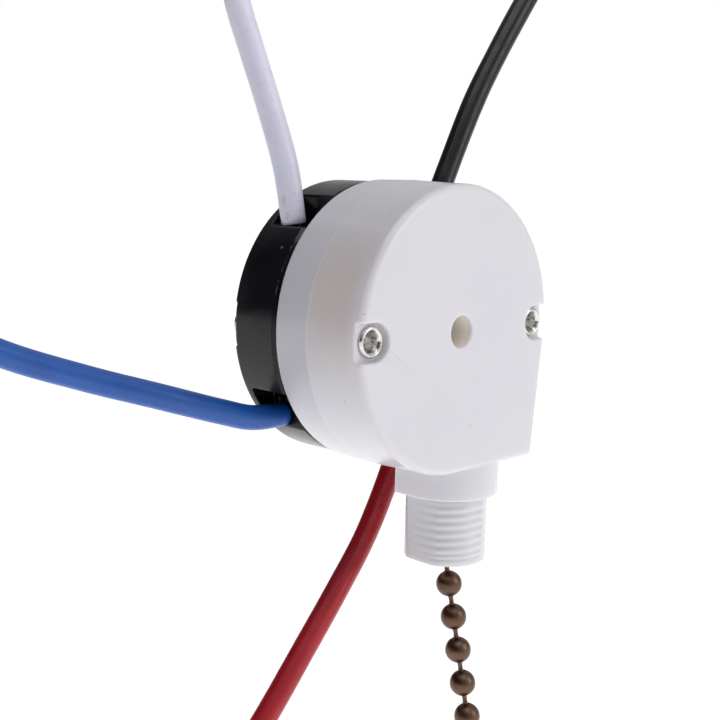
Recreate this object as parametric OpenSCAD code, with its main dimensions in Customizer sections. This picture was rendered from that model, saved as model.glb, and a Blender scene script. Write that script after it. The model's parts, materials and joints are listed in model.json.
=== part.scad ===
// Four-wire pull chain switch: round two-part case, threaded neck, ball chain, four leads.
// Millimetres. Origin: middle of the collar shoulder. +Z up, front face towards -Y, neck towards -Z.

/* [Case] */
// Outside radius of the case at its front face
case_r = 16.4; // [12:0.1:22]
// Outside radius of the white shell at its mould line and at its rear rim
shell_r = 16.7; // [12:0.1:22]
// Depth of the white shell, from the face back to the joint
shell_d = 12.8; // [8:0.1:20]
// Depth of the mould line, from the face
mould_d = 7.9; // [3:0.1:12]
// Depth of the whole case, from the face to the back
case_d = 20.2; // [14:0.1:30]
// Wall of the front face
face_wall = 1.8; // [1:0.1:3]
// Rounding of the front edge
edge_r = 0.8; // [0.2:0.1:2]
// Inside radius of the shell
cavity_r = 14.6; // [10:0.1:18]
// Side of the squared lower right corner, from the case axis
corner_x = 14.8; // [12:0.1:20]
// Foot of the squared lower right corner, below the case axis
corner_z = 16.7; // [12:0.1:20]
// Radius of the hole in the middle of the face
eye_r = 1.8; // [0.8:0.05:3]

/* [Neck] */
// Case axis to the left of the neck axis
neck_x = 6.1; // [0:0.1:10]
// Neck axis behind the face
neck_d = 6.3; // [4:0.1:9]
// Collar shoulder below the case axis
shoulder_z = 20.6; // [17:0.1:26]
// Half width of the collar
collar_r = 6.2; // [5:0.05:9]
// How far the collar keeps its full width behind the neck axis
collar_back = 3.3; // [0:0.1:6]
// Crest radius of the neck thread
thread_r = 5.0; // [4:0.05:7]
// Root radius of the neck thread
root_r = 4.72; // [3.5:0.05:6.5]
// Thread pitch
pitch = 1.0; // [0.5:0.05:2]
// Length of the threaded neck below the shoulder
neck_len = 8.4; // [5:0.1:15]
// Half distance between the two side flats of the thread
flat_x = 4.6; // [4:0.05:6]
// Radius of the chain bore
bore_r = 2.3; // [1.8:0.05:3]

/* [Rivets] */
// Rivet axes either side of the case axis
rivet_x = 14.2; // [10:0.1:18]
// Rivet shank radius
rivet_r = 1.2; // [0.8:0.05:2]
// Rolled front ring radius
ring_r = 1.7; // [1.2:0.05:3]
// Rivet pocket radius
pocket_r = 2.1; // [1.8:0.05:4]
// Rivet pocket depth
pocket_d = 1.0; // [0.4:0.1:2]

/* [Lead slots] */
// Lead axis to the side of the case axis
lead_s = 10.2; // [7:0.1:13]
// Slot floor from the case axis, along the lead
slot_floor = 11.2; // [9:0.1:14]
// Inner side of each slot
slot_in = 7.4; // [5:0.1:10]
// Outer side of each slot
slot_out = 12.4; // [10:0.1:15]
// Depth of the lead axes, from the face
lead_d = 17.0; // [14:0.1:19]
// Depth of the slots' rear wall, from the face
slot_d = 18.9; // [15:0.1:20]
// Lead diameter over the insulation
lead_dia = 2.9; // [2:0.05:4]
// Bare conductor diameter
core_dia = 1.2; // [0.6:0.05:2]

/* [Mechanism] */
// Chain centre line radius on the drum
drum_pr = 6.1; // [4:0.05:9]
// Drum rim radius
drum_r = 8.6; // [6:0.05:11]
// Hollow post outside radius
post_r = 2.8; // [2:0.05:4]
// Bearing clearance, radial
run_c = 0.05; // [0.01:0.01:0.1]
// Rotor radius
rotor_r = 9.2; // [7:0.05:11]
// Chain bead diameter
bead = 3.2; // [2:0.1:5]
// Distance between beads
bead_p = 4.15; // [3:0.05:6]
// Chain connector diameter
link = 0.7; // [0.3:0.05:1.2]
// Beads that hang below the neck
hang_n = 24; // [5:1:60]
// Lean of the hanging chain towards the front, degrees
lean = 12.7; // [-30:0.1:30]

/* [Hidden] */
$fn = 64;
eps = 0.02;
// lead routes, from the insulation end in the slot outwards
white_pts = [[-16.3, 10.7, 32], [-17, 11.5, 38.5], [-18, 13.2, 45], [-19, 15, 51], [-20, 16.7, 57],
    [-20.5, 18.5, 65], [-18.5, 20.5, 73], [-14, 22, 80], [-7, 23, 85], [1, 23.5, 87.5], [9.5, 23.5, 88]];
black_pts = [[6.3, 10.7, 31.2], [8.6, 10.9, 33.6], [11.2, 11.1, 38.2], [16.4, 11.3, 47.2], [21, 11.2, 54],
    [27, 11, 62], [33, 11, 69], [39.5, 11.5, 75.5], [47, 12, 80.3], [54.5, 12.5, 82.3],
    [60.5, 13, 81.2]];
blue_pts = [[-17.5, 10.7, 10], [-22, 11, 10.1], [-26, 11.8, 11.2], [-33, 14.3, 13.5], [-40, 17.6, 15.8],
    [-48, 20.8, 18.9], [-56, 23.3, 23.5], [-62.5, 25, 30], [-66, 26, 38], [-66.5, 26.5, 46.5],
    [-64, 26.5, 54.5], [-60, 26.5, 60]];
red_pts = [[4.1, 10.7, 9.2], [3.6, 10.8, 4.5], [1.8, 10.8, 0], [-3.2, 10.3, -7.5], [-9, 9.7, -13.5],
    [-15, 9.3, -19.5], [-21.6, 9, -26.2], [-28, 9.2, -32.5], [-35.5, 10, -37], [-44, 11, -37.5],
    [-52, 12, -34.5], [-58, 13, -28.5]];
bare = 8;

// local frame of the case: x right, y up, z towards the front, z = 0 on the face
module in_case() translate([-neck_x, -neck_d, shoulder_z]) rotate([90, 0, 0]) children();
module slab(d0, d1) translate([0, 0, -d1]) linear_extrude(d1 - d0) children();
module rod(x, y, r, d0, d1) translate([x, y, -d1]) cylinder(r = r, h = d1 - d0);
// quarter turns of the case: 0 = white, 1 = blue, 2 = red, 3 = black
module turned(k) rotate([0, 0, 90 * k]) children();

// ---- geometry helpers for the leads ----
function unit(v) = v / norm(v);
function tangent(p, i) = i == 0 ? unit(p[1] - p[0])
    : i == len(p) - 1 ? unit(p[i] - p[i - 1]) : unit(unit(p[i + 1] - p[i]) + unit(p[i] - p[i - 1]));
function ring(c, t, r) = let (u = unit(cross(t, [0, 1, 0])), v = cross(t, u))
    [for (a = [0:7]) c + r * cos(45 * a) * u + r * sin(45 * a) * v];
module tube(p, r) {
    n = len(p);
    pts = [for (i = [0:n - 1]) each ring(p[i], tangent(p, i), r)];
    side = [for (i = [0:n - 2]) for (a = [0:7]) each let (b = (a + 1) % 8)
        [[8 * i + a, 8 * i + b, 8 * i + 8 + b], [8 * i + a, 8 * i + 8 + b, 8 * i + 8 + a]]];
    polyhedron(points = pts, faces = concat(side,
        [[for (a = [7:-1:0]) a]], [[for (a = [0:7]) 8 * (n - 1) + a]]), convexity = 6);
}
// rod from one point along a direction
module along(p, v, r, l) {
    q = unit(v);
    translate(p) rotate([0, acos(q[2]), atan2(q[1], q[0])]) cylinder(r = r, h = l, $fn = 24);
}
module bead_at(p) translate(p) sphere(d = bead, $fn = 32);

// ---- case ----
module corner2d(r) {
    // squared lower right corner, drawn between the points where its sides meet the round case
    polygon([[r * cos(-6.5), r * sin(-6.5)], [corner_x, -corner_z], [r * cos(-91), r * sin(-91)], [0, 0]]);
}
module front_housing() color("#e9e7ea") difference() {
    union() {
        difference() {
            union() {
                in_case() rotate_extrude($fn = 128) polygon(concat([[0, 0], [case_r - edge_r, 0]],
                    [for (a = [75:-15:0]) [case_r - edge_r + edge_r * cos(a), -edge_r + edge_r * sin(a)]],
                    [[shell_r, -mould_d], [shell_r - 0.05, -shell_d], [0, -shell_d]]));
                in_case() slab(0.45, shell_d) corner2d(case_r + 0.1);
                in_case() slab(0, 0.5) offset(delta = -0.3) corner2d(case_r + 0.1);
            }
            // room for the mechanism
            in_case() slab(face_wall, shell_d + 1) difference() {
                circle(r = cavity_r, $fn = 96);
                for (s = [-1, 1]) translate([s * rivet_x, 0]) circle(r = 3.0);
            }
        }
        // hollow post that the drum turns on
        in_case() rod(0, 0, post_r, face_wall - 0.3, 9.2);
        in_case() rod(0, 0, 4.2, face_wall - 0.3, face_wall + 0.3);
        // collar: round in front, straight sides behind, up into the case
        difference() {
            union() {
                cylinder(r = collar_r, h = 8, $fn = 96);
                translate([-collar_r, 0, 0]) cube([2 * collar_r, collar_back, 8]);
            }
            in_case() rod(0, 0, cavity_r + 0.2, face_wall, shell_d - 0.01);
        }
        // threaded neck with two side flats
        intersection() {
            rotate_extrude($fn = 96) polygon(concat([[0, 0.5], [thread_r + 0.02, 0.5],
                [thread_r + 0.02, -0.3], [root_r, -0.5]],
                [for (i = [0:6]) each [[thread_r, -0.75 - i * pitch], [thread_r, -1.1 - i * pitch],
                    [root_r, -1.4 - i * pitch], [root_r, -1.5 - i * pitch]]],
                [[thread_r - 0.1, -7.7], [thread_r - 0.1, -neck_len + 0.25], [root_r, -neck_len],
                    [0, -neck_len]]));
            translate([-flat_x, -8, -neck_len - 1]) cube([2 * flat_x, 16, neck_len + 2]);
        }
    }
    // chain bore with a flared mouth
    translate([0, 0, -neck_len - 1]) cylinder(r = bore_r, h = neck_len + 10);
    translate([0, 0, -neck_len - 0.01]) cylinder(r1 = bore_r + 0.8, r2 = bore_r, h = 0.8);
    in_case() {
        rod(0, 0, eye_r, -1, 10);
        for (s = [-1, 1]) {
            rod(s * rivet_x, 0, rivet_r + 0.05, -1, shell_d + 1);
            slab(-1, pocket_d) hull() {
                translate([s * rivet_x, 0]) circle(r = pocket_r);
                translate([s * (rivet_x + 6), 0]) square([2, 2 * pocket_r], center = true);
            }
        }
    }
}
module slot2d() translate([-slot_out, slot_floor]) square([slot_out - slot_in, 8]);
module pocket2d() translate([-12, 3]) square([5.2, 6.2]);
module rear_base() color("#141416") in_case() difference() {
    union() {
        rotate_extrude($fn = 128) polygon([[0, -shell_d], [case_r - 0.35, -shell_d],
            [case_r + 0.05, -shell_d - 0.85], [case_r, -case_d + 0.5], [case_r - 0.5, -case_d],
            [0, -case_d]]);
        slab(shell_d + 0.85, case_d - 0.4) corner2d(case_r);
        slab(shell_d, case_d) offset(delta = -0.35) corner2d(case_r);
    }
    // rotor well, rotor bore
    rod(0, 0, 10.2, shell_d - 1, 14.9);
    rod(0, 0, 1.8, 14, 19.3);
    for (k = [0:3]) turned(k) {
        slab(shell_d - 1, slot_d) slot2d();
        slab(14.8, slot_d) pocket2d();
        slab(14.8, 15.5) translate([-7.2, 3.2]) square([3.2, 2.6]);
        // hole for the bare conductor
        translate([-lead_s, 9, -lead_d]) rotate([-90, 0, 0]) cylinder(r = 0.95, h = 3, $fn = 32);
    }
    for (s = [-1, 1]) {
        rod(s * rivet_x, 0, rivet_r + 0.05, shell_d - 1, case_d + 1);
        slab(case_d - 0.4, case_d + 1) translate([s * (rivet_x + 0.5), 0]) square([6.4, 5], center = true);
    }
}
module rivet(s) color("#c9c7c2") in_case() difference() {
    translate([s * rivet_x, 0, 0]) union() {
        translate([0, 0, -case_d]) cylinder(r = rivet_r, h = case_d - pocket_d + 0.3, $fn = 48);
        // rolled front ring
        translate([0, 0, -pocket_d]) rotate_extrude($fn = 48) translate([(ring_r + 1.15) / 2, 0])
            intersection() {
                scale([1, 1.4]) circle(r = (ring_r - 1.15) / 2 + 0.05, $fn = 24);
                translate([-2, 0]) square([4, 2]);
            }
        // domed head at the back
        translate([0, 0, -case_d + 0.4]) rotate([180, 0, 0]) rotate_extrude($fn = 48)
            polygon([[0, 0], [2.2, 0], [2.2, 0.25], [1.9, 0.6], [1.2, 0.85], [0, 0.95]]);
    }
    translate([s * rivet_x, 0, -8]) cylinder(r = 0.85, h = 10, $fn = 32);
}
module rivet_left() rivet(-1);
module rivet_right() rivet(1);

// ---- mechanism ----
// first wrapped bead, and how far the ratchet teeth stand ahead of the pawls, degrees
wrap_a = 5.2;
tooth_a = 24;
module chain_drum() color("#d9d4c4") in_case() difference() {
    union() {
        // rims, groove floor and spring cup
        rotate_extrude($fn = 96) polygon([[post_r + run_c, -2.5], [3.9, -2.5], [3.9, -3.5], [7.9, -3.5],
            [7.9, -2.5], [drum_r, -2.5], [drum_r, -4.2], [5.6, -4.3], [4.4, -4.9], [4.4, -7.7],
            [5.6, -8.3], [drum_r, -8.4], [drum_r, -8.9], [post_r + run_c, -8.9]]);
        // two pawls on the back
        for (a = [90, 270]) rotate([0, 0, a]) translate([4.6, -1, -9.2]) cube([3.4, 2, 0.4]);
        // drive rib that closes the groove beyond the chain end
        rotate([0, 0, 165]) translate([4.2, -1.2, -8.45]) cube([4.2, 2.4, 4.3]);
    }
    // seats of the wrapped beads
    for (i = [0:3]) rotate([0, 0, wrap_a + 39.8 * i]) translate([drum_pr, 0, -neck_d])
        sphere(d = bead + 0.1, $fn = 32);
}
module chain_wrapped() color("#5b4632") in_case() union() {
    for (i = [0:3]) rotate([0, 0, wrap_a + 39.8 * i]) bead_at([drum_pr, 0, -neck_d]);
    for (i = [0:2]) rotate([0, 0, wrap_a + 19.9 + 39.8 * i]) translate([drum_pr * cos(19.9), 0, -neck_d])
        rotate([90, 0, 0]) cylinder(d = link, h = 2 * drum_pr * sin(19.9), center = true, $fn = 16);
}
// flat spiral, three turns
function spiral(n, r0, r1, w) = concat(
    [for (i = [0:n]) let (a = 1080 * i / n, r = r0 + (r1 - r0) * i / n) [r * cos(a), r * sin(a)]],
    [for (i = [n:-1:0]) let (a = 1080 * i / n, r = r0 + (r1 - r0) * i / n + w) [r * cos(a), r * sin(a)]]);
module return_spring() color("#9aa0a6") in_case() slab(2.6, 3.3) polygon(spiral(72, 4.3, 7.3, 0.3));
module ratchet_rotor() color("#b9412f") in_case() union() {
    difference() {
        rod(0, 0, rotor_r, 10.4, 13.5);
        // a detent scallop for each of the four switch positions
        for (i = [0:3]) rotate([0, 0, 90 * i]) rod(rotor_r + 1.2, 0, 2.0, 10, 14);
    }
    rod(0, 0, eye_r - 0.06, 6, 11);
    rod(0, 0, eye_r - 0.06, 13, 18.8);
    // four face teeth, each just ahead of where a pawl stands
    for (i = [0:3]) rotate([0, 0, 90 * i - tooth_a]) translate([4.8, 0, -10.45]) rotate([90, 0, 90])
        linear_extrude(3.2) polygon([[-4.6, 0], [1.4, 0], [1.4, 0.95], [1.1, 0.95]]);
}
module contact_plate() color("#c79a3b") in_case() slab(13.5, 14.1) difference() {
    circle(r = 8.2, $fn = 72);
    circle(r = 3.2);
    // one quarter is cut back to the inner band
    intersection() {
        difference() { circle(r = 9); circle(r = 5.2); }
        polygon([[0, 0], [20, 3], [20, 20], [3, 20]]);
    }
}
module detent_spring() color("#aeb3b8") in_case()
    slab(10.8, 12.6) polygon([[-8.6, -11.6], [-3.2, -10.1], [0, -9.55], [3.2, -10.1], [8.6, -11.6],
        [8.5, -11.8], [3.2, -10.4], [0, -9.85], [-3.2, -10.4], [-8.5, -11.8]]);
// spring terminal: floor, side wall, contact arm with its dimple, and the tongue that grips the core
module terminal(k) color("#cda349") in_case() turned(k) union() {
    translate([-11.6, 3.4, -18.8]) cube([4.6, 5.4, 0.4]);
    translate([-7.4, 3.4, -18.8]) cube([0.4, 2.6, 3.9]);
    translate([-7.4, 3.4, -15.3]) cube([2.9, 2.2, 0.4]);
    translate([-5.2, 4.5, -15]) sphere(r = 0.55, $fn = 24);
    translate([-11.6, 3.4, -18.8]) cube([0.4, 5.4, 2.85]);
    translate([-11.6, 3.4, -16.35]) cube([2.4, 4.6, 0.4]);
}
module terminal_white() terminal(0);
module terminal_blue() terminal(1);
module terminal_red() terminal(2);
module terminal_black() terminal(3);

// ---- leads ----
module lead_white() color("#e6e3f2") tube(white_pts, lead_dia / 2);
module lead_blue() color("#2f6fd6") tube(blue_pts, lead_dia / 2);
module lead_red() color("#c3151c") tube(red_pts, lead_dia / 2);
module lead_black() color("#1b1b1d") tube(black_pts, lead_dia / 2);
module core(p, k) color("#c98b5a") {
    n = len(p);
    // stripped end outside
    along(p[n - 1], p[n - 1] - p[n - 2], core_dia / 2, bare);
    // bare end in the terminal
    in_case() turned(k) translate([-lead_s, 4.2, -lead_d]) rotate([-90, 0, 0])
        cylinder(r = core_dia / 2, h = slot_floor - 4.2 + 0.15, $fn = 24);
}
module core_white() core(white_pts, 0);
module core_blue() core(blue_pts, 1);
module core_red() core(red_pts, 2);
module core_black() core(black_pts, 3);

// ---- chain ----
pivot = [0, 0, -7.9];
hang = [0, -sin(lean), -cos(lean)];
// straight run from the drum down to the mouth of the neck
module chain_inner() color("#5b4632") union() {
    for (i = [0:6]) bead_at(pivot + [0, 0, bead_p * i]);
    translate(pivot) cylinder(d = link, h = bead_p * 6, $fn = 16);
}
module chain_link() color("#5b4632") along(pivot + (bead / 2 - 0.1 + 0.35) * hang, hang, link / 2,
    bead_p - bead + 0.2 - 0.7);
// beads and connectors turned as one profile: y runs down the chain from the first bead
module pull_chain() color("#5b4632") translate(pivot + bead_p * hang) rotate([180 - lean, 0, 0])
    rotate_extrude($fn = 24) polygon(concat([[0, -bead / 2]],
        [for (i = [0:hang_n - 1]) for (a = [-75:25:75])
            [max(link / 2, bead / 2 * cos(a)), i * bead_p + bead / 2 * sin(a)]],
        [[0, (hang_n - 1) * bead_p + bead / 2]]));
module chain_coupling() color("#5b4632") translate(pivot + (bead_p * hang_n + bead / 2 + 0.35) * hang)
    rotate([-lean, 0, 0]) rotate([180, 0, 0]) difference() {
        rotate_extrude($fn = 48) polygon([[0.6, 0], [1.7, 0], [2.3, 0.7], [2.3, 8.3], [1.7, 9], [0.6, 9],
            [0.6, 8.5], [1.5, 8.4], [1.9, 8], [1.9, 1], [1.5, 0.6], [0.6, 0.5]]);
        translate([-0.5, 0, -1]) cube([1, 4, 11]);
        translate([0, 0, 4.5]) rotate([-90, 0, 0]) cylinder(r = 1.7, h = 4, $fn = 32);
    }

front_housing();
rear_base();
rivet_left();
rivet_right();
chain_drum();
chain_wrapped();
return_spring();
ratchet_rotor();
contact_plate();
detent_spring();
terminal_white();
terminal_blue();
terminal_red();
terminal_black();
lead_white();
lead_blue();
lead_red();
lead_black();
core_white();
core_blue();
core_red();
core_black();
chain_inner();
chain_link();
pull_chain();
chain_coupling();
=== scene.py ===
import json
import math
import random

import bpy
import numpy as np
from mathutils import Matrix, Vector


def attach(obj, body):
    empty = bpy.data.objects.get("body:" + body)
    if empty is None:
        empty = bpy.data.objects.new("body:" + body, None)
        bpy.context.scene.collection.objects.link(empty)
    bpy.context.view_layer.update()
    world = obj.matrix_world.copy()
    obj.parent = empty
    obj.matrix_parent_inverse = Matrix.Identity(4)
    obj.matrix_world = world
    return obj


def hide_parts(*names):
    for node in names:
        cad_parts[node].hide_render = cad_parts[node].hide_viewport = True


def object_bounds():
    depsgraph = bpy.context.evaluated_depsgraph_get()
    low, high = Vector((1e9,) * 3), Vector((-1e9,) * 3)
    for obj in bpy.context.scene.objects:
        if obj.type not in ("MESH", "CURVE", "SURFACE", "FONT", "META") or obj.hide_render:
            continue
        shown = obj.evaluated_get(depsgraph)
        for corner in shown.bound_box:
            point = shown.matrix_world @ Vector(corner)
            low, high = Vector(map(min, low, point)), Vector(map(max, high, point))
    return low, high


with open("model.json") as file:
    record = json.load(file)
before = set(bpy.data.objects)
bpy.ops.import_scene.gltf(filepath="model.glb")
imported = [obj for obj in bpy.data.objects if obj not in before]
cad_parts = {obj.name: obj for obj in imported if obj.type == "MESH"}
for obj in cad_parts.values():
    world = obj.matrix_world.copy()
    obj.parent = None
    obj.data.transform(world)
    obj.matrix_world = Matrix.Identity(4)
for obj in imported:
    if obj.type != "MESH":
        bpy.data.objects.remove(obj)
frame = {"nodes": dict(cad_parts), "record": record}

MM = 0.001
CAD_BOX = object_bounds()

# ---- main dimensions, in millimetres, as the CAD model has them ----
NECK_X, NECK_D, SHOULDER_Y = 6.1, 6.3, -20.6
CASE_R, SHELL_R, SHELL_D, MOULD_D, CASE_D = 16.4, 16.7, 12.8, 7.9, 20.2
FACE_WALL, EDGE_R, CAVITY_R, BOSS_R = 1.8, 0.8, 14.6, 3.0
# the squared corner's tip, and the directions in which its sides leave the round outline
CORNER, CORNER_FROM, CORNER_TO = (14.8, -16.7), math.radians(-6.5), math.radians(-91)
EYE_R, POST_R, POST_D, FLANGE_R, FLANGE_D = 1.8, 2.8, 9.2, 4.2, 2.1
COLLAR_R, COLLAR_BACK, COLLAR_TOP, BORE_TOP = 6.2, 3.3, 8.0, 9.0
THREAD_R, ROOT_R, PITCH, NECK_LEN, FLAT_X, BORE_R, FLARE = 5.0, 4.72, 1.0, 8.4, 4.6, 2.3, 0.8
# direction of the thread's smooth lands in the neck's frame
LAND_U, LAND_V = 0.69, -0.72
RIVET_X, RIVET_R, RIVET_HOLE_R, RING_R, POCKET_R, POCKET_D = 14.2, 1.2, 1.25, 1.7, 2.1, 1.0
BAND_D, BAND_STEP, ROTOR_ROOM_R, ROTOR_ROOM_D, PIN_R, PIN_D = 0.85, 0.35, 10.2, 14.9, 1.8, 19.3
LEAD_S, LEAD_D, SLOT_FLOOR, SLOT_IN, SLOT_OUT, SLOT_D = 10.2, 17.0, 11.2, 7.4, 12.4, 18.9
TERMINAL_D, FINGER_D, WIRE_HOLE_R = 14.8, 15.5, 0.95
LEAD_DIA, CORE_DIA, CORE_FROM, BARE = 2.9, 1.2, 4.2, 8.0
BEAD, BEAD_STEP, BEAD_HOLE, LINK, LEAN = 3.2, 4.15, 0.47, 0.7, math.radians(12.7)
HANG_N, INNER_N, WRAP_N = 24, 7, 4
DRUM_R, WRAP_A, WRAP_STEP = 6.1, 5.2, 39.8
# grid step of the pieces that are made from distance fields
GRID = 0.2
PIVOT = Vector((0, 0, -7.9))
HANG = Vector((0, -math.sin(LEAN), -math.cos(LEAN)))

# lead routes in the row frame, in metres, from the insulation's end in the slot outwards
ROUTES = {
    "white": [(-.0163, .0107, .032), (-.017, .0115, .0385), (-.018, .0132, .045), (-.019, .015, .051),
              (-.02, .0167, .057), (-.0205, .0185, .065), (-.0185, .0205, .073), (-.014, .022, .08),
              (-.007, .023, .085), (.001, .0235, .0875), (.0095, .0235, .088)],
    "black": [(.0063, .0107, .0312), (.0086, .0109, .0336), (.0112, .0111, .0382), (.0164, .0113, .0472),
              (.021, .0112, .054), (.027, .011, .062), (.033, .011, .069), (.0395, .0115, .0755),
              (.047, .012, .0803), (.0545, .0125, .0823), (.0605, .013, .0812)],
    "blue": [(-.0175, .0107, .01), (-.022, .011, .0101), (-.026, .0118, .0112), (-.033, .0143, .0135),
             (-.04, .0176, .0158), (-.048, .0208, .0189), (-.056, .0233, .0235), (-.0625, .025, .03),
             (-.066, .026, .038), (-.0665, .0265, .0465), (-.064, .0265, .0545), (-.06, .0265, .06)],
    "red": [(.0041, .0107, .0092), (.0036, .0108, .0045), (.0018, .0108, 0), (-.0032, .0103, -.0075),
            (-.009, .0097, -.0135), (-.015, .0093, -.0195), (-.0216, .009, -.0262),
            (-.028, .0092, -.0325), (-.0355, .01, -.037), (-.044, .011, -.0375),
            (-.052, .012, -.0345), (-.058, .013, -.0285)],
}
# quarter turns of the case at which each lead's slot lies
QUARTER = {"white": 0, "blue": 1, "red": 2, "black": 3}


def row(x, y, d):
    """A point of the case's frame, in millimetres, as a point of the row frame in metres."""
    return Vector((x - NECK_X, d - NECK_D, y - SHOULDER_Y)) * MM


# ---- camera ----
def make_camera():
    place = (-0.10696, -0.08604, 0.03800)
    right = Vector((0.69004, -0.72336, 0.02429))
    up = Vector((0.09992, 0.12845, 0.98667))
    back = Vector((-0.71684, -0.67842, 0.16092))
    data = bpy.data.cameras.new("camera")
    data.sensor_width = 36
    data.lens = 57.5
    data.clip_start = 0.01
    camera = bpy.data.objects.new("camera", data)
    turn = Matrix((right, up, back)).transposed().to_4x4()
    camera.matrix_world = Matrix.Translation(place) @ turn
    bpy.context.scene.collection.objects.link(camera)
    bpy.context.scene.camera = camera


make_camera()


# ---- shader helpers ----
class Look:
    """A principled material whose colour, roughness and relief come from its own nodes."""

    def __init__(self, name, color, roughness, metallic=0.0, **sockets):
        self.mat = bpy.data.materials.new(name)
        self.mat.use_nodes = True
        self.tree = self.mat.node_tree
        self.shader = self.tree.nodes["Principled BSDF"]
        self.shader.inputs["Base Color"].default_value = (*color, 1)
        self.shader.inputs["Roughness"].default_value = roughness
        self.shader.inputs["Metallic"].default_value = metallic
        for key, value in sockets.items():
            self.shader.inputs[key.replace("_", " ")].default_value = value
        self.mat.diffuse_color = (*color, 1)
        self.place = self.tree.nodes.new("ShaderNodeTexCoord").outputs["Object"]
        self.color = None
        self.height = None

    def node(self, kind, **settings):
        made = self.tree.nodes.new("ShaderNode" + kind)
        for key, value in settings.items():
            setattr(made, key, value)
        return made

    def link(self, out, to):
        self.tree.links.new(out, to)

    def noise(self, scale, detail=3.0, rough=0.55, stretch=None):
        """Noise of about 1 / scale metres a lump, over the object's own coordinates."""
        made = self.node("TexNoise")
        made.inputs["Scale"].default_value = scale
        made.inputs["Detail"].default_value = detail
        made.inputs["Roughness"].default_value = rough
        place = self.place
        if stretch:
            mapping = self.node("Mapping")
            mapping.inputs["Scale"].default_value = stretch
            self.link(place, mapping.inputs["Vector"])
            place = mapping.outputs["Vector"]
        self.link(place, made.inputs["Vector"])
        return made.outputs["Fac"]

    def span(self, value, low, high, to_low=0.0, to_high=1.0):
        """value between low and high, spread over to_low to_high and clamped."""
        made = self.node("MapRange", interpolation_type="SMOOTHSTEP")
        for key, number in (("From Min", low), ("From Max", high), ("To Min", to_low), ("To Max", to_high)):
            made.inputs[key].default_value = number
        self.link(value, made.inputs["Value"])
        return made.outputs["Result"]

    def math(self, operation, first, second):
        made = self.node("Math", operation=operation)
        for slot, value in zip(made.inputs, (first, second)):
            if isinstance(value, (int, float)):
                slot.default_value = value
            else:
                self.link(value, slot)
        return made.outputs["Value"]

    def axis(self, letter):
        made = self.node("SeparateXYZ")
        self.link(self.place, made.inputs["Vector"])
        return made.outputs[letter]

    def tint(self, mask, color):
        """Lays color over the base colour where mask is 1."""
        made = self.node("Mix", data_type="RGBA")
        if self.color is None:
            made.inputs["A"].default_value = self.shader.inputs["Base Color"].default_value
        else:
            self.link(self.color, made.inputs["A"])
        made.inputs["B"].default_value = (*color, 1)
        self.link(mask, made.inputs["Factor"])
        self.color = made.outputs["Result"]
        self.link(self.color, self.shader.inputs["Base Color"])

    def polish(self, value):
        self.link(value, self.shader.inputs["Roughness"])

    def relief(self, value, depth):
        """Adds a height of depth metres times value to the surface."""
        height = self.math("MULTIPLY", value, depth)
        self.height = height if self.height is None else self.math("ADD", self.height, height)

    def done(self):
        if self.height is not None:
            bump = self.node("Bump")
            bump.inputs["Distance"].default_value = 1.0
            self.link(self.height, bump.inputs["Height"])
            self.link(bump.outputs["Normal"], self.shader.inputs["Normal"])
        return self.mat


def at_depth(d):
    """The object coordinate Y, in metres, of a depth behind the face in millimetres."""
    return (d - NECK_D) * MM


def near_depth(look, d, inner, outer):
    """A mask that is 1 within inner of a depth and 0 beyond outer, all in millimetres."""
    away = look.math("ABSOLUTE", look.math("SUBTRACT", look.axis("Y"), at_depth(d)), 0)
    return look.span(away, inner * MM, outer * MM, 1, 0)


def specks(look, scale, share):
    """A mask of small scattered specks, on about share of the cells of a pattern of that scale."""
    cells = look.node("TexVoronoi", feature="F1")
    cells.inputs["Scale"].default_value = scale
    look.link(look.place, cells.inputs["Vector"])
    near = look.span(cells.outputs["Distance"], 0.08, 0.16, 1, 0)
    pick = look.node("SeparateColor")
    look.link(cells.outputs["Color"], pick.inputs["Color"])
    return look.math("MULTIPLY", near, look.math("LESS_THAN", pick.outputs["Red"], share))


def paint_shade_by_depth(look):
    """Paints shade by depth: a warm darker band before the mould line and a grey one on the wall behind it.
    """
    depth, height = look.axis("Y"), look.axis("Z")
    # painted shade: a warm darker band between face and mould line, for the shadowed inside showing through
    # the thin wall
    band = look.math("MULTIPLY", look.span(depth, at_depth(0.3), at_depth(3.2)),
                     look.span(depth, at_depth(MOULD_D - 0.1), at_depth(MOULD_D), 1, 0))
    middle = look.math("MULTIPLY", look.span(height, 0.014, 0.022), look.span(height, 0.027, 0.034, 1, 0))
    cloud = look.span(look.noise(90), 0.25, 0.7, 0.5, 1)
    look.tint(look.math("MULTIPLY", look.math("MULTIPLY", band, middle), cloud), (0.68, 0.61, 0.605))
    # painted shade: behind the mould line the wall is greyed, for the black base showing dark through the
    # thin wall
    behind = look.span(depth, at_depth(MOULD_D - 0.05), at_depth(MOULD_D + 0.2))
    flank = look.math("MULTIPLY", look.span(height, 0.004, 0.016), look.span(height, 0.024, 0.036, 1, 0))
    look.tint(look.math("MULTIPLY", behind, look.math("MULTIPLY", flank, 0.55)), (0.56, 0.545, 0.6))


def tint_eye(look):
    """Makes the wall of the eye glow, as light comes through the face."""
    across = look.math("ADD", look.axis("X"), NECK_X * MM)
    along = look.math("ADD", look.axis("Z"), SHOULDER_Y * MM)
    across, along = look.math("MULTIPLY", across, across), look.math("MULTIPLY", along, along)
    away = look.math("SQRT", look.math("ADD", across, along), 0)
    eye = look.math("MULTIPLY", look.span(away, (EYE_R + 0.1) * MM, (EYE_R + 0.4) * MM, 1, 0),
                    look.span(look.axis("Y"), at_depth(0.2), at_depth(0.8)))
    look.tint(eye, (0.97, 0.9, 0.83))


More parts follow.
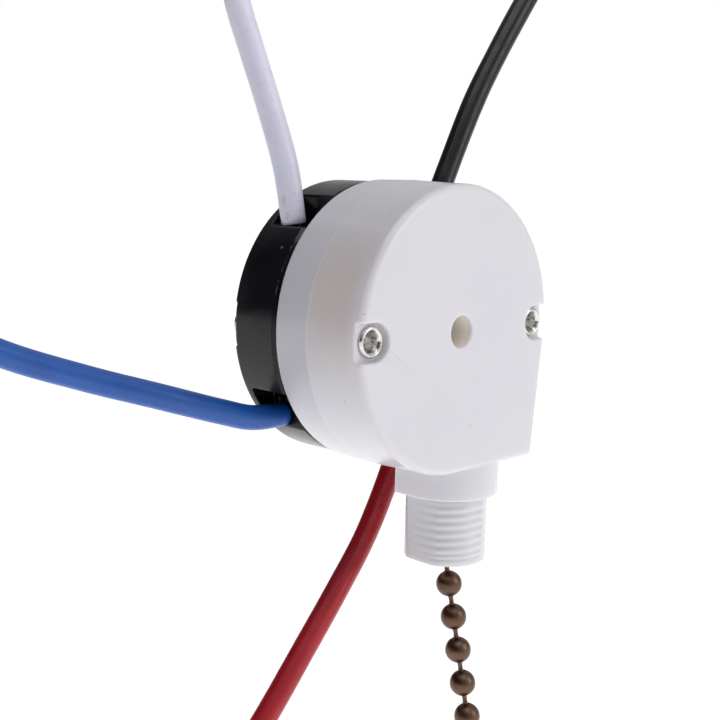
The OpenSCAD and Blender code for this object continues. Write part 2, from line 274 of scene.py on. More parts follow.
def white_nylon():
    look = Look("white_nylon", (0.7, 0.69, 0.735), 0.2, Subsurface_Weight=0.45,
                Subsurface_Radius=(1.0, 0.8, 0.7), Subsurface_Scale=0.002, IOR=1.5)
    look.tint(look.span(look.noise(60, 2), 0.3, 0.7), (0.72, 0.71, 0.75))
    # painted shade: a warm band before the mould line and a grey wall behind it
    paint_shade_by_depth(look)
    tint_eye(look)
    # the mould line is a fine raised line, on the case but not on the neck
    line = look.math("MULTIPLY", near_depth(look, MOULD_D, 0.02, 0.08),
                     look.span(look.axis("Z"), 0.003, 0.006))
    look.tint(look.math("MULTIPLY", line, 0.5), (0.85, 0.84, 0.85))
    look.relief(line, 0.015 * MM)
    look.tint(specks(look, 1500, 0.008), (0.36, 0.3, 0.26))
    look.polish(look.span(look.noise(160, 4), 0.3, 0.7, 0.19, 0.27))
    look.relief(look.noise(2600, 2), 0.0012 * MM)
    look.relief(look.noise(150, 1), 0.006 * MM)
    return look.done()


def black_plastic():
    look = Look("black_plastic", (0.007, 0.007, 0.0095), 0.2, IOR=1.45, Specular_IOR_Level=0.36)
    look.tint(look.span(look.noise(120, 4), 0.5, 0.8, 0, 0.5), (0.022, 0.022, 0.026))
    # pale flash dust along the edge of the front band
    dust = look.math("MULTIPLY", near_depth(look, SHELL_D + BAND_D, 0.03, 0.1),
                     look.span(look.noise(1400, 4), 0.5, 0.66, 0, 0.35))
    look.tint(dust, (0.2, 0.2, 0.21))
    look.tint(specks(look, 700, 0.03), (0.16, 0.16, 0.17))
    look.polish(look.span(look.noise(240, 5), 0.35, 0.7, 0.13, 0.28))
    look.relief(look.noise(900, 3), 0.003 * MM)
    return look.done()


def nickel():
    look = Look("nickel", (0.72, 0.7, 0.66), 0.2, 1.0)
    look.tint(look.span(look.noise(700, 4), 0.5, 0.75), (0.45, 0.43, 0.4))
    look.polish(look.span(look.noise(1500, 4), 0.35, 0.7, 0.12, 0.34))
    look.relief(look.noise(2400, 3), 0.02 * MM)
    return look.done()


def crimp_nickel_and_shade():
    """The torn metal inside a rivet's rolled end, with painted shade: its dark patches are torn metal and
    shade in the crimp's creases.
    """
    look = Look("crimp_nickel_and_shade", (0.66, 0.65, 0.63), 0.34, 1.0)
    # painted shade: dark patches for the creases of the torn crimp
    look.tint(look.span(look.noise(1900, 4), 0.5, 0.66), (0.2, 0.19, 0.185))
    look.relief(look.noise(1700, 4), 0.1 * MM)
    return look.done()


def antique_brass():
    look = Look("antique_brass", (0.14, 0.085, 0.06), 0.36, 1.0)
    look.tint(look.span(look.noise(330, 4, 0.6), 0.5, 0.75, 0, 0.8), (0.21, 0.13, 0.088))
    look.tint(look.span(look.noise(1500, 3), 0.62, 0.74, 0, 0.7), (0.06, 0.042, 0.033))
    look.polish(look.span(look.noise(700, 4), 0.35, 0.7, 0.33, 0.45))
    look.relief(look.noise(1500, 3), 0.006 * MM)
    return look.done()


def pvc(name, color, deep, roughness=0.34, gloss=0.5):
    """A lead's jacket, mottled with its deep colour. It is returned unfinished, for more tints."""
    look = Look(name, color, roughness, Subsurface_Weight=0.12, Subsurface_Radius=(1.0, 0.8, 0.8),
                Subsurface_Scale=0.0006, Specular_IOR_Level=gloss)
    look.tint(look.span(look.noise(180, 3), 0.4, 0.75, 0, 0.75), deep)
    look.polish(look.span(look.noise(500, 4), 0.35, 0.7, roughness - 0.07, roughness + 0.08))
    look.relief(look.noise(700, 1), 0.004 * MM)
    look.relief(look.noise(150, 1), 0.03 * MM)
    return look


def pvc_white():
    look = pvc("pvc_white", (0.71, 0.7, 0.83), (0.65, 0.64, 0.78))
    # grime where the lead leaves the case
    near = look.span(look.axis("Z"), 0.0325, 0.037, 1, 0)
    grime = look.math("MULTIPLY", near, look.span(look.noise(900, 5, 0.7), 0.52, 0.66, 0, 0.6))
    look.tint(grime, (0.3, 0.27, 0.26))
    look.tint(look.math("MULTIPLY", specks(look, 1300, 0.12), near), (0.12, 0.1, 0.09))
    return look.done()


def copper():
    look = Look("copper", (0.72, 0.4, 0.26), 0.3, 1.0)
    look.tint(look.span(look.noise(900, 4), 0.45, 0.7), (0.62, 0.5, 0.42))
    look.polish(look.span(look.noise(1800, 3), 0.3, 0.7, 0.2, 0.42))
    look.relief(look.noise(3000, 2), 0.008 * MM)
    return look.done()


def strip_brass():
    look = Look("contact_brass", (0.62, 0.43, 0.17), 0.3, 1.0)
    look.tint(look.span(look.noise(500, 4), 0.5, 0.75), (0.5, 0.31, 0.13))
    look.polish(look.span(look.noise(900, 3, stretch=(1, 8, 1)), 0.3, 0.7, 0.2, 0.4))
    look.relief(look.noise(1600, 3, stretch=(1, 12, 1)), 0.006 * MM)
    return look.done()


def spring_steel():
    look = Look("spring_steel", (0.48, 0.49, 0.51), 0.28, 1.0)
    look.tint(look.span(look.noise(600, 4), 0.5, 0.8), (0.36, 0.36, 0.37))
    look.polish(look.span(look.noise(1400, 3), 0.3, 0.7, 0.18, 0.36))
    return look.done()


def inner_plastic(name, color, deep):
    look = Look(name, color, 0.4, Subsurface_Weight=0.1, Subsurface_Scale=0.001)
    look.tint(look.span(look.noise(200, 4), 0.4, 0.75), deep)
    look.polish(look.span(look.noise(700, 4), 0.3, 0.7, 0.32, 0.5))
    look.relief(look.noise(1500, 3), 0.006 * MM)
    return look.done()


LOOKS = {
    "white_nylon": white_nylon(),
    "black_plastic": black_plastic(),
    "nickel": nickel(),
    "antique_brass": antique_brass(),
    "pvc_white": pvc_white(),
    "pvc_blue": pvc("pvc_blue", (0.012, 0.098, 0.41), (0.009, 0.07, 0.32)).done(),
    "pvc_red": pvc("pvc_red", (0.42, 0.008, 0.018), (0.33, 0.006, 0.014)).done(),
    "pvc_black": pvc("pvc_black", (0.006, 0.006, 0.008), (0.011, 0.011, 0.014), 0.3, 0.35).done(),
    "copper": copper(),
    "contact_brass": strip_brass(),
    "spring_steel": spring_steel(),
    "natural_plastic": inner_plastic("natural_plastic", (0.7, 0.66, 0.54), (0.62, 0.57, 0.45)),
    "red_plastic": inner_plastic("red_plastic", (0.42, 0.05, 0.035), (0.34, 0.035, 0.025)),
}
# torn metal with painted shade, for the inside of the rivets' rolled ends
CRIMP_AND_SHADE = crimp_nickel_and_shade()


# ---- mesh helpers ----
def new_piece(name, points, faces, slot, body, normals=None):
    """A mesh piece from points in metres in the row frame, riding on a body."""
    mesh = bpy.data.meshes.new(name)
    mesh.from_pydata([tuple(p) for p in points], [], [tuple(f) for f in faces])
    mesh.validate()
    mesh.polygons.foreach_set("use_smooth", [True] * len(mesh.polygons))
    mesh.materials.append(LOOKS[slot])
    if normals is not None:
        mesh.normals_split_custom_set_from_vertices([tuple(n) for n in normals])
    piece = bpy.data.objects.new(name, mesh)
    bpy.context.scene.collection.objects.link(piece)
    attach(piece, body)
    return piece


def lathe(profile, sides, wobble=None):
    """Points and faces of a profile of (radius, height) turned about +Z. A radius of 0 closes an end."""
    points, faces, rings = [], [], []
    for step, (r, z) in enumerate(profile):
        if r < 1e-6:
            rings.append([len(points)])
            points.append((0.0, 0.0, z))
            continue
        rings.append(list(range(len(points), len(points) + sides)))
        for s in range(sides):
            a = 2 * math.pi * s / sides
            q = r + (wobble(step, a) if wobble else 0)
            points.append((q * math.cos(a), q * math.sin(a), z))
    for low, high in zip(rings, rings[1:]):
        for s in range(sides):
            t = (s + 1) % sides
            if len(low) == 1:
                faces.append((low[0], high[t], high[s]))
            elif len(high) == 1:
                faces.append((low[s], low[t], high[0]))
            else:
                faces.append((low[s], low[t], high[t], high[s]))
    return np.array(points), faces


class Heap:
    """Collects points and faces of several shapes into one piece."""

    def __init__(self):
        self.points, self.faces = [], []

    def add(self, points, faces, matrix=None):
        start = len(self.points)
        for p in points:
            self.points.append(matrix @ Vector(p) if matrix is not None else Vector(p))
        self.faces += [tuple(start + i for i in f) for f in faces]


def curve_through(points, per_span):
    """Catmull-Rom points through the given ones."""
    p = [Vector(q) for q in points]
    p = [p[0] * 2 - p[1]] + p + [p[-1] * 2 - p[-2]]
    out = []
    for i in range(1, len(p) - 2):
        a, b, c, e = p[i - 1], p[i], p[i + 1], p[i + 2]
        for k in range(per_span):
            t = k / per_span
            out.append(0.5 * (2 * b + (c - a) * t + (2 * a - 5 * b + 4 * c - e) * t * t
                              + (3 * b - a - 3 * c + e) * t ** 3))
    return out + [p[-2]]


def frames_along(path):
    """Two sideways directions at each point, turning as little as possible."""
    tangents = []
    for i in range(len(path)):
        tangents.append((path[min(i + 1, len(path) - 1)] - path[max(i - 1, 0)]).normalized())
    side = tangents[0].orthogonal().normalized()
    out = []
    for t in tangents:
        side = (side - t * side.dot(t)).normalized()
        out.append((side, t.cross(side)))
    return out


def tube(path, radii, frames, sides):
    """Points and faces of a closed round tube, with a radius and sideways directions at each point."""
    points, faces = [], []
    for p, r, (u, v) in zip(path, radii, frames):
        for s in range(sides):
            a = 2 * math.pi * s / sides
            points.append(p + (u * math.cos(a) + v * math.sin(a)) * r)
    for i in range(len(path) - 1):
        for s in range(sides):
            t = (s + 1) % sides
            faces.append((i * sides + s, i * sides + t, (i + 1) * sides + t, (i + 1) * sides + s))
    faces.append(tuple(range(sides))[::-1])
    faces.append(tuple((len(path) - 1) * sides + s for s in range(sides)))
    return points, faces


# ---- solids from distance fields, which are negative inside ----
def join_round(a, b, r):
    """Both solids together, with a fillet where they meet."""
    return np.maximum(r, np.minimum(a, b)) - np.hypot(np.maximum(r - a, 0), np.maximum(r - b, 0))


def keep_round(a, b, r):
    """What two solids share, with a rounded edge."""
    return np.minimum(-r, np.maximum(a, b)) + np.hypot(np.maximum(r + a, 0), np.maximum(r + b, 0))


def cut_round(a, b, r):
    """The first solid without the second, with a rounded edge."""
    return keep_round(a, -b, r)


def bar(p, q, centre, half):
    """An endless square bar, by its centre and half size in two directions."""
    return np.maximum(np.abs(p - centre[0]) - half[0], np.abs(q - centre[1]) - half[1])


def surface_net(field, low, high, step):
    """Points and quads of the surface where field is 0, inside a box, with a grid of that step."""
    axes = [np.arange(a, b + step, step) for a, b in zip(low, high)]
    value = field(*np.meshgrid(*axes, indexing="ij"))
    inside = value < 0
    n = [len(a) - 1 for a in axes]
    corners = [np.array((i, j, k)) for i in (0, 1) for j in (0, 1) for k in (0, 1)]
    count = sum(inside[i:i + n[0], j:j + n[1], k:k + n[2]].astype(np.int8) for i, j, k in corners)
    cells = np.argwhere((count > 0) & (count < 8))
    index = np.full(count.shape, -1)
    index[tuple(cells.T)] = np.arange(len(cells))
    total, hits = np.zeros((len(cells), 3)), np.zeros(len(cells))
    for a in corners:
        for b in corners:
            if (b - a).sum() == 1 and (b >= a).all():
                va, vb = value[tuple((cells + a).T)], value[tuple((cells + b).T)]
                cross = (va < 0) != (vb < 0)
                share = va[cross] / (va[cross] - vb[cross])
                total[cross] += a + share[:, None] * (b - a)
                hits[cross] += 1
    points = np.array(low) + (cells + total / hits[:, None]) * step
    faces = []
    for axis in range(3):
        second, third = (axis + 1) % 3, (axis + 2) % 3
        one, two = np.eye(3, dtype=int)[second], np.eye(3, dtype=int)[third]
        before = [slice(0, s - (1 if k == axis else 0)) for k, s in enumerate(inside.shape)]
        after = [slice(1, None) if k == axis else slice(None) for k in range(3)]
        for sign in (True, False):
            at = np.argwhere((inside[tuple(before)] == sign) & (inside[tuple(after)] != sign))
            across = at[:, (second, third)]
            at = at[((across > 0) & (across < (n[second], n[third]))).all(1)]
            quad = [at - one - two, at - two, at, at - one]
            quad = quad if sign else quad[::-1]
            faces.append(np.stack([index[tuple(q.T)] for q in quad], 1))
    return points, np.concatenate(faces)


def gradient(field, points):
    """The field's slope at each point, over a short distance e each way."""
    e = 0.02
    x, y, z = points.T
    return np.stack([field(x + e, y, z) - field(x - e, y, z), field(x, y + e, z) - field(x, y - e, z),
                     field(x, y, z + e) - field(x, y, z - e)], 1) / (2 * e)


def settle(field, points, step):
    """Moves points onto the surface, by no more than step."""
    start = points.copy()
    for _ in range(5):
        slope = gradient(field, points)
        move = field(*points.T)[:, None] * slope / np.maximum((slope ** 2).sum(1), 0.05)[:, None]
        points = points - np.clip(move, -step, step)
    return np.where(np.abs(points - start).max(1)[:, None] < 2 * step, points, start)


def field_piece(name, field, low, high, share, slot, body):
    """A piece bounded by a distance field in the case's frame, thinned to share of its faces."""
    points, faces = surface_net(field, low, high, GRID)
    points = settle(field, points, GRID)
    mesh = bpy.data.meshes.new(name + "_raw")
    mesh.from_pydata(points.tolist(), [], faces.tolist())
    raw = bpy.data.objects.new(name + "_raw", mesh)
    bpy.context.scene.collection.objects.link(raw)
    thin = raw.modifiers.new("thin", "DECIMATE")
    thin.ratio = share
    done = bpy.data.meshes.new_from_object(raw.evaluated_get(bpy.context.evaluated_depsgraph_get()))
    co = np.array([v.co for v in done.vertices], float)
    faces = [tuple(p.vertices) for p in done.polygons]
    bpy.data.objects.remove(raw)
    bpy.data.meshes.remove(mesh)
    bpy.data.meshes.remove(done)
    co = settle(field, co, GRID)
    slope = gradient(field, co)
    slope /= np.maximum(np.linalg.norm(slope, axis=1), 1e-6)[:, None]
    # (x, y, d) to (X, Z, Y) turns the faces inside out, so their order is reversed
    place = [row(*p) for p in co]
    normals = slope[:, (0, 2, 1)]
    return new_piece(name, place, [f[::-1] for f in faces], slot, body, normals)


# ---- case ----
def outline(x, y, r):
    """Distance from the case's outline: a disc with a squared lower right corner."""
    disc = np.hypot(x, y) - r
    a = np.array((r * math.cos(CORNER_FROM), r * math.sin(CORNER_FROM)))
    b = np.array(CORNER)
    c = np.array((r * math.cos(CORNER_TO), r * math.sin(CORNER_TO)))

    def side(p, q):
        run = (q - p) / np.linalg.norm(q - p)
        return (x - p[0]) * -run[1] + (y - p[1]) * run[0]

    square = keep_round(side(a, b), side(b, c), 0.7)
    square = np.maximum(square, np.maximum(-x, y))
    return np.minimum(disc, square)


def shell_block(x, y, d):
    """The shell's outside: its round wall widens from the face to the mould line."""
    wall = CASE_R + (SHELL_R - CASE_R) * np.clip(d / MOULD_D, 0, 1)
    wall = wall - 0.05 * np.clip((d - MOULD_D) / (SHELL_D - MOULD_D), 0, 1)
    around = np.minimum(np.hypot(x, y) - wall, outline(x, y, CASE_R + 0.1))
    return keep_round(keep_round(around, -d, EDGE_R), d - SHELL_D, 0.15)


def collar(u, v, w):
    """Round in front, straight-sided behind, and flat at the shoulder."""
    shape = np.where(v < 0, np.hypot(u, v) - COLLAR_R,
                     keep_round(np.abs(u) - COLLAR_R, v - COLLAR_BACK, 0.5))
    return keep_round(keep_round(shape, -w, 0.22), w - COLLAR_TOP, 0.1)


def drum_room(x, y, d):
    """The room for the mechanism, clear of the bosses round the rivets."""
    room = keep_round(np.hypot(x, y) - CAVITY_R, FACE_WALL - d, 0.3)
    for s in (-1, 1):
        room = cut_round(room, np.hypot(x - s * RIVET_X, y) - BOSS_R, 0.2)
    return room


def drum_post(x, y, d):
    """The hollow post that the drum turns on, with a flange at its foot."""
    post = keep_round(np.hypot(x, y) - POST_R, d - POST_D, 0.1)
    flange = keep_round(np.hypot(x, y) - FLANGE_R, d - FLANGE_D, 0.05)
    return keep_round(join_round(post, flange, 0.1), 0.5 - d, 0.1)


def threaded_neck(u, v, w):
    """The neck, with a soft right-hand ridge that runs out at both ends, and two side flats."""
    around = np.hypot(u, v)
    turn = w / PITCH - np.arctan2(v, u) / (2 * math.pi)
    ridge = 0.68 + 0.32 * np.cos(2 * math.pi * turn)
    fade = np.clip((-w - 0.35) / 0.5, 0, 1) * np.clip((w + NECK_LEN - 0.75) / 0.5, 0, 1)
    tip = np.clip((-w - NECK_LEN + 1.1) / 0.5, 0, 1)
    # two smooth lands run down the thread, to the front right and the back left
    land = np.clip((np.abs(LAND_U * u + LAND_V * v) / np.maximum(around, 0.1) - 0.72) / 0.14, 0, 1)
    height = np.maximum(np.maximum(ridge * fade, 0.62 * tip), 0.9 * land)
    # the ridge is steep, so its distance is scaled down
    neck = (around - (ROOT_R + (THREAD_R - ROOT_R) * height)) * 0.55
    neck = keep_round(neck, np.abs(u) - FLAT_X, 0.3)
    return keep_round(keep_round(neck, -w - NECK_LEN, 0.08), w - 1.5, 0.1)


def chain_bore(u, v, w):
    """The chain's way through the neck, with a flared mouth."""
    bore = np.hypot(u, v) - BORE_R - FLARE * np.clip((-w - NECK_LEN + FLARE) / FLARE, 0, 1)
    return np.maximum(bore, w - BORE_TOP)


def housing(x, y, d):
    """The white shell. The neck has its own frame: u to the right, v back, w up from the shoulder."""
    u, v, w = x - NECK_X, d - NECK_D, y - SHOULDER_Y
    solid = join_round(shell_block(x, y, d), collar(u, v, w), 0.2)
    solid = cut_round(solid, drum_room(x, y, d), 0.1)
    solid = join_round(solid, drum_post(x, y, d), 0.1)
    solid = join_round(solid, threaded_neck(u, v, w), 0.12)
    solid = cut_round(solid, chain_bore(u, v, w), 0.12)
    solid = cut_round(solid, np.maximum(np.hypot(x, y) - EYE_R, d - 10), 0.28)
    for s in (-1, 1):
        # the rivet's pocket is open towards the edge
        p = s * x - RIVET_X
        pocket = np.where(p < 0, np.hypot(p, y), np.abs(y)) - POCKET_R
        solid = cut_round(solid, keep_round(pocket, d - POCKET_D, 0.3), 0.22)
        solid = np.maximum(solid, RIVET_HOLE_R - np.hypot(p, y))
    return solid


def cut_slot(solid, p, q, d):
    """Cuts a lead's slot, its terminal's pocket and the way between them, in that slot's frame."""
    middle, half = (SLOT_IN + SLOT_OUT) / 2, (SLOT_OUT - SLOT_IN) / 2
    slot = keep_round(np.abs(p + middle) - half, SLOT_FLOOR - q, 0.3)
    solid = cut_round(solid, keep_round(slot, d - SLOT_D, 0.3), 0.12)
    pocket = bar(p, q, (-9.4, 6.1), (2.6, 3.1))
    solid = cut_round(solid, np.maximum(np.maximum(pocket, TERMINAL_D - d), d - SLOT_D), 0.08)
    finger_way = bar(p, q, (-5.6, 4.5), (1.6, 1.3))
    solid = np.maximum(solid, -np.maximum(finger_way, d - FINGER_D))
    wire = np.maximum(np.hypot(p + LEAD_S, d - LEAD_D) - WIRE_HOLE_R, np.abs(q - 10.5) - 1.5)
    return cut_round(solid, wire, 0.08)


def base(x, y, d):
    """The black base, with a narrower front edge that the shell sits on."""
    front = np.clip((d - SHELL_D) / BAND_D, 0, 1)
    wall = CASE_R - BAND_STEP + 0.4 * front
    shape = np.minimum(np.hypot(x, y) - wall, outline(x, y, CASE_R) + BAND_STEP * (1 - front))
    solid = keep_round(shape, d - CASE_D, 0.45)
    solid = keep_round(solid, SHELL_D - d, 0.06)
    solid = cut_round(solid, keep_round(np.hypot(x, y) - ROTOR_ROOM_R, d - ROTOR_ROOM_D, 0.2), 0.1)
    solid = cut_round(solid, np.maximum(np.hypot(x, y) - PIN_R, d - PIN_D), 0.05)
    for k in range(4):
        # into the frame of the first slot
        c, s = round(math.cos(math.pi * k / 2)), round(math.sin(math.pi * k / 2))
        solid = cut_slot(solid, c * x + s * y, c * y - s * x, d)
    for s in (-1, 1):
        solid = np.maximum(solid, RIVET_HOLE_R - np.hypot(x - s * RIVET_X, y))
        seat = bar(x, y, (s * (RIVET_X + 0.5), 0), (3.2, 2.5))
        solid = cut_round(solid, np.maximum(seat, CASE_D - 0.4 - d), 0.1)
    return solid


def case_pieces():
    shell = field_piece("housing_shell", housing, (-17.3, -29.5, -0.5), (17.3, 17.3, 13.3), 0.42,
                        "white_nylon", "case")
    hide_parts("front_housing")
    back = field_piece("base_shell", base, (-17.3, -17.5, 12.3), (17.3, 17.3, 20.7), 0.45,
                       "black_plastic", "case")
    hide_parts("rear_base")


case_pieces()


# ---- rivets ----
def rivet(side, name, node, seed):
    """Tubular rivet: a ragged rolled ring in front, a plain domed head behind."""
    dice = random.Random(seed)
    waves = [(k, dice.uniform(0.02, 0.07) / math.sqrt(k), dice.uniform(0, 6.3)) for k in (2, 3, 5, 7, 11)]
    # how ragged each point of the ring's profile is
    shares = (0.0, 0.1, 0.2, 0.35, 0.5, 0.8, 1.0, 1.0, 1.0, 0.8, 0.5, 0, 0)

    def ragged(step, angle):
        return shares[step] * sum(size * math.sin(k * angle + start) for k, size, start in waves)

    # heights run towards the front
    top = POCKET_D - 0.46
    ring = [(1.5, -POCKET_D), (RING_R, -POCKET_D + 0.06), (RING_R + 0.03, -POCKET_D + 0.2),
            (RING_R - 0.06, -top - 0.1), (RING_R - 0.2, -top), (RING_R - 0.34, -top - 0.03),
            (RING_R - 0.46, -top - 0.16), (1.14, -top - 0.36), (1.02, -top - 0.6), (0.9, -top - 1.0),
            (0.82, -top - 1.6), (0.5, -top - 1.75), (0, -top - 1.7)]
    shank = [(RIVET_R, -CASE_D + 0.45), (RIVET_R, -POCKET_D)]
    head = [(0, -CASE_D - 0.5), (0.7, -CASE_D - 0.44), (1.2, -CASE_D - 0.38), (1.7, -CASE_D - 0.22),
            (2.05, -CASE_D - 0.02), (2.2, -CASE_D + 0.18), (2.2, -CASE_D + 0.36), (1.2, -CASE_D + 0.4)]
    heap = Heap()
    heap.add(*lathe(ring, 56, ragged))
    heap.add(*lathe(shank, 32))
    heap.add(*lathe(head, 48))
    # lathe's z runs to the front: (x, y, z) goes to the case's (x, y, -z)
    place = [row(side * RIVET_X + p.x, p.y, -p.z) for p in heap.points]
    piece = new_piece(name, place, [f[::-1] for f in heap.faces], "nickel", "case")
    tear_and_shade(piece, side, top)
    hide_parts(node)


def tear_and_shade(piece, side, top):
    """Gives the inside of the rolled end, from its top inwards, the look of torn metal, darkened in patches
    by painted shade.
    """
    piece.data.materials.append(CRIMP_AND_SHADE)
    axis, front, back = row(side * RIVET_X, 0, 0), row(0, 0, top + 0.12).y, row(0, 0, 4).y
    for polygon in piece.data.polygons:
        centre = polygon.center
        away = math.hypot(centre.x - axis.x, centre.z - axis.z)
        if away < 1.1 * MM and front < centre.y < back:
            polygon.material_index = 1


rivet(-1, "crimped_rivet_left", "rivet_left", 3)
rivet(1, "crimped_rivet_right", "rivet_right", 8)


# ---- leads ----
def strands(heap, start, along, length, fan, seed):
    """Twisted bare strands from start along a direction, opening by fan at the end, in metres."""
    dice = random.Random(seed)
    t = along.normalized()
    u = t.orthogonal().normalized()
    v = t.cross(u)
    count, steps, wire = 7, 14, CORE_DIA * MM / 6
    for i in range(count):
        # the first strand is the middle one
        ring = 0 if i == 0 else 1
        phase = 2 * math.pi * i / (count - 1)
        stray = dice.uniform(0, fan)
        reach = length * dice.uniform(0.93, 1)
        path = []
        for k in range(steps + 1):
            s = k / steps
            a = phase + 2.6 * s
            r = ring * wire * 2 + stray * s * s
            path.append(start + t * reach * s + (u * math.cos(a) + v * math.sin(a)) * r)
        heap.add(*tube(path, [wire] * steps + [wire * 0.75], frames_along(path), 8))


def jacket_shape(route, seed):
    """Points and faces of a lead's jacket, a little uneven along its length."""
    dice = random.Random(seed)
    waves = [(dice.uniform(160, 420), dice.uniform(0, 6.3)) for _ in range(3)]
    r = LEAD_DIA * MM / 2
    walked, radii = 0.0, []
    for i, p in enumerate(route):
        walked += (p - route[i - 1]).length if i else 0
        radii.append(r * (1 + 0.004 * sum(math.sin(f * walked + s) for f, s in waves)))
    # both ends, as ways in from the end and radii: the floor and the mouth of the hole for the
    # strands, the edge of the cut face, and the rounded lip
    hole = CORE_DIA * MM / 2 * 1.08
    lip = [(0.35 * r, hole), (0, hole), (0, r * 0.93), (0.03 * r, r * 0.985)]
    first, last = (route[1] - route[0]).normalized(), (route[-1] - route[-2]).normalized()
    path = [route[0] + first * way for way, _ in lip] + route[1:-1]
    path += [route[-1] - last * way for way, _ in lip[::-1]]
    sizes = [size for _, size in lip] + radii[1:-1] + [size for _, size in lip[::-1]]
    frames = frames_along(route)
    ends = len(lip) + 1
    frames = [frames[0]] * ends + frames[2:-2] + [frames[-1]] * ends
    return tube(path, sizes, frames, 24)


def lead(color, seed):
    """A lead's jacket and its conductor, bare at the far end and in the terminal."""
    route = curve_through(ROUTES[color], 9)
    last = (route[-1] - route[-2]).normalized()
    jacket = new_piece("wire_" + color, *jacket_shape(route, seed), "pvc_" + color, "case")
    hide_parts("lead_" + color)

    heap = Heap()
    # the far end starts a little inside the jacket
    inside = LEAD_DIA * MM / 2 * 0.3
    strands(heap, route[-1] - last * inside, last, BARE * MM + inside, 0.00022, seed)
    turn = Matrix.Rotation(math.pi / 2 * QUARTER[color], 2)
    start, way = turn @ Vector((-LEAD_S, CORE_FROM)), turn @ Vector((0, 1))
    strands(heap, row(*start, LEAD_D), Vector((way.x, 0, way.y)), (SLOT_FLOOR - CORE_FROM + 0.5) * MM,
            0.0, seed + 1)
    bare = new_piece("strands_" + color, heap.points, heap.faces, "copper", "case")
    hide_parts("core_" + color)


for number, color in enumerate(ROUTES):
    lead(color, 10 * number + 5)


# ---- chain ----
def bead_shape():
    """A hollow bead with a small turned-in hole at each end."""
    r, steps = BEAD / 2, 16
    start = math.asin(BEAD_HOLE / r)
    arc = [math.pi - start - (math.pi - 2 * start) * k / steps for k in range(steps + 1)]
    profile = [(BEAD_HOLE - 0.1, -r + 0.38), (BEAD_HOLE - 0.05, -r + 0.16)]
    profile += [(r * math.sin(a), r * math.cos(a)) for a in arc]
    profile += [(BEAD_HOLE - 0.05, r - 0.16), (BEAD_HOLE - 0.1, r - 0.38)]
    return lathe(profile, 28)


def link_shape(length):
    """A connector rod, a little thicker where it enters the beads."""
    r, half = LINK / 2, length / 2
    profile = [(0, -half), (r * 1.05, -half), (r * 1.05, -half * 0.55), (r * 0.86, -half * 0.3),
               (r * 0.82, 0), (r * 0.86, half * 0.3), (r * 1.05, half * 0.55), (r * 1.05, half), (0, half)]
    return lathe(profile, 14)


BEAD_SHAPE = bead_shape()


def aim(direction, place, spin=0.0):
    """Turns +Z to a direction, after a spin about it, and moves it to a place."""
    turn = direction.to_track_quat("Z", "Y").to_matrix().to_4x4()
    return Matrix.Translation(place) @ turn @ Matrix.Rotation(spin, 4, "Z")


def add_bead(heap, place, direction, dice):
    """Adds a bead that nods a little, as loose beads do."""
    spin = dice.uniform(0, 6.3)
    nod = Vector((dice.uniform(-1, 1), dice.uniform(-1, 1), dice.uniform(-1, 1))) * 0.05
    heap.add(*BEAD_SHAPE, aim((direction + nod).normalized(), place, spin))


def add_link(heap, a, b):
    """Adds a connector between the beads at a and b, half a millimetre into each."""
    heap.add(*link_shape((b - a).length - BEAD + 1.0), aim((b - a).normalized(), (a + b) / 2))


def chain_piece(name, node, centres, dice, body):
    """Beads at the given centres, in millimetres in the row frame, with the connectors between them."""
    heap = Heap()
    for i, centre in enumerate(centres):
        run = centres[min(i + 1, len(centres) - 1)] - centres[max(i - 1, 0)]
        add_bead(heap, centre, run.normalized(), dice)
    for a, b in zip(centres, centres[1:]):
        add_link(heap, a, b)
    piece = new_piece(name, [p * MM for p in heap.points], heap.faces, "antique_brass", body)
    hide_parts(node)
    return piece


def pivot_link(first_bead):
    """The connector at the mouth of the neck, where the chain swings."""
    heap = Heap()
    add_link(heap, PIVOT, first_bead)
    piece = new_piece("ball_chain_link", [p * MM for p in heap.points], heap.faces, "antique_brass",
                      "chain_hinge")
    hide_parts("chain_link")


def chain():
    dice = random.Random(21)
    hanging = [PIVOT + HANG * BEAD_STEP * (i + 1) for i in range(HANG_N)]
    low = chain_piece("ball_chain", "pull_chain", hanging, dice, "chain_hang")
    inner = [PIVOT + Vector((0, 0, BEAD_STEP * i)) for i in range(INNER_N)]
    chain_piece("ball_chain_inner", "chain_inner", inner, dice, "chain_slide")
    angles = [math.radians(WRAP_A + WRAP_STEP * i) for i in range(WRAP_N)]
    wrapped = [row(DRUM_R * math.cos(a), DRUM_R * math.sin(a), NECK_D) / MM for a in angles]
    chain_piece("ball_chain_wrapped", "chain_wrapped", wrapped, dice, "drum")
    pivot_link(hanging[0])


chain()


# ---- CAD nodes that stay, with better materials ----
def dress_nodes():
    """Gives every remaining CAD node the look of its material slot."""
    slots = {part["node"]: part["material_slot"] for part in frame["record"]["subparts"]}
    for name, node in frame["nodes"].items():
        node.data.materials.clear()
        node.data.materials.append(LOOKS[slots[name]])


dress_nodes()


# ---- studio ----
def area_light(name, place, target, size, power):
    data = bpy.data.lights.new(name, "AREA")
    data.shape = "RECTANGLE"
    data.size, data.size_y = size
    data.energy = power
    lamp = bpy.data.objects.new(name, data)
    away = Vector(place) - Vector(target)
    lamp.matrix_world = Matrix.Translation(place) @ away.to_track_quat("Z", "Y").to_matrix().to_4x4()
    bpy.context.scene.collection.objects.link(lamp)


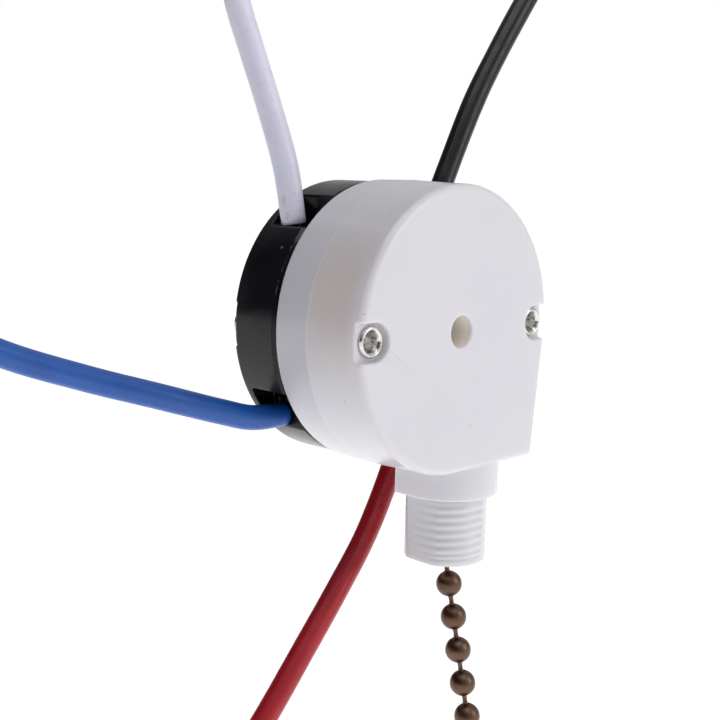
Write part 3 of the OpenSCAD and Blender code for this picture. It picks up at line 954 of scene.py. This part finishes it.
def studio():
    """A pale floor a little below the chain's end, white walls and two soft lamps."""
    scene = bpy.context.scene
    scene.view_settings.view_transform = "Standard"
    floor_mesh = bpy.data.meshes.new("floor")
    z, half = CAD_BOX[0].z - 0.03, 6.0
    floor_mesh.from_pydata([(-half, -half, z), (half, -half, z), (half, half, z), (-half, half, z)], [],
                           [(0, 1, 2, 3)])
    floor = bpy.data.objects.new("floor", floor_mesh)
    scene.collection.objects.link(floor)
    pale = Look("pale_floor", (0.86, 0.86, 0.865), 0.8, Emission_Color=(1, 1, 1, 1), Emission_Strength=0.72)
    pale.tint(pale.span(pale.noise(8), 0.4, 0.8, 0, 0.3), (0.84, 0.84, 0.845))
    floor_mesh.materials.append(pale.done())
    light_tent(scene)
    centre = (-0.006, 0, 0.02)
    area_light("key", (0.22, -0.42, 0.22), centre, (0.25, 0.35), 0.6)
    area_light("top", (-0.1, -0.05, 0.5), centre, (0.45, 0.3), 0.75)


def light_tent(scene):
    """White walls all round, bright in front, above and to the right, dim to the left."""
    world = bpy.data.worlds.new("studio")
    world.use_nodes = True
    scene.world = world
    nodes, links = world.node_tree.nodes, world.node_tree.links
    way = nodes.new("ShaderNodeVectorMath")
    way.operation = "DOT_PRODUCT"
    way.inputs[1].default_value = Vector((0.72, -0.42, 0.55)).normalized()
    links.new(nodes.new("ShaderNodeTexCoord").outputs["Generated"], way.inputs[0])
    spread = nodes.new("ShaderNodeMapRange")
    spread.interpolation_type = "SMOOTHSTEP"
    for key, number in (("From Min", -0.35), ("From Max", 0.6), ("To Min", 0.02), ("To Max", 0.52)):
        spread.inputs[key].default_value = number
    links.new(way.outputs["Value"], spread.inputs["Value"])
    seen = nodes.new("ShaderNodeLightPath").outputs["Is Camera Ray"]
    level = nodes.new("ShaderNodeMath")
    level.operation = "MAXIMUM"
    links.new(spread.outputs["Result"], level.inputs[0])
    links.new(seen, level.inputs[1])
    nodes["Background"].inputs["Color"].default_value = (1, 1, 1, 1)
    links.new(level.outputs["Value"], nodes["Background"].inputs["Strength"])


studio()
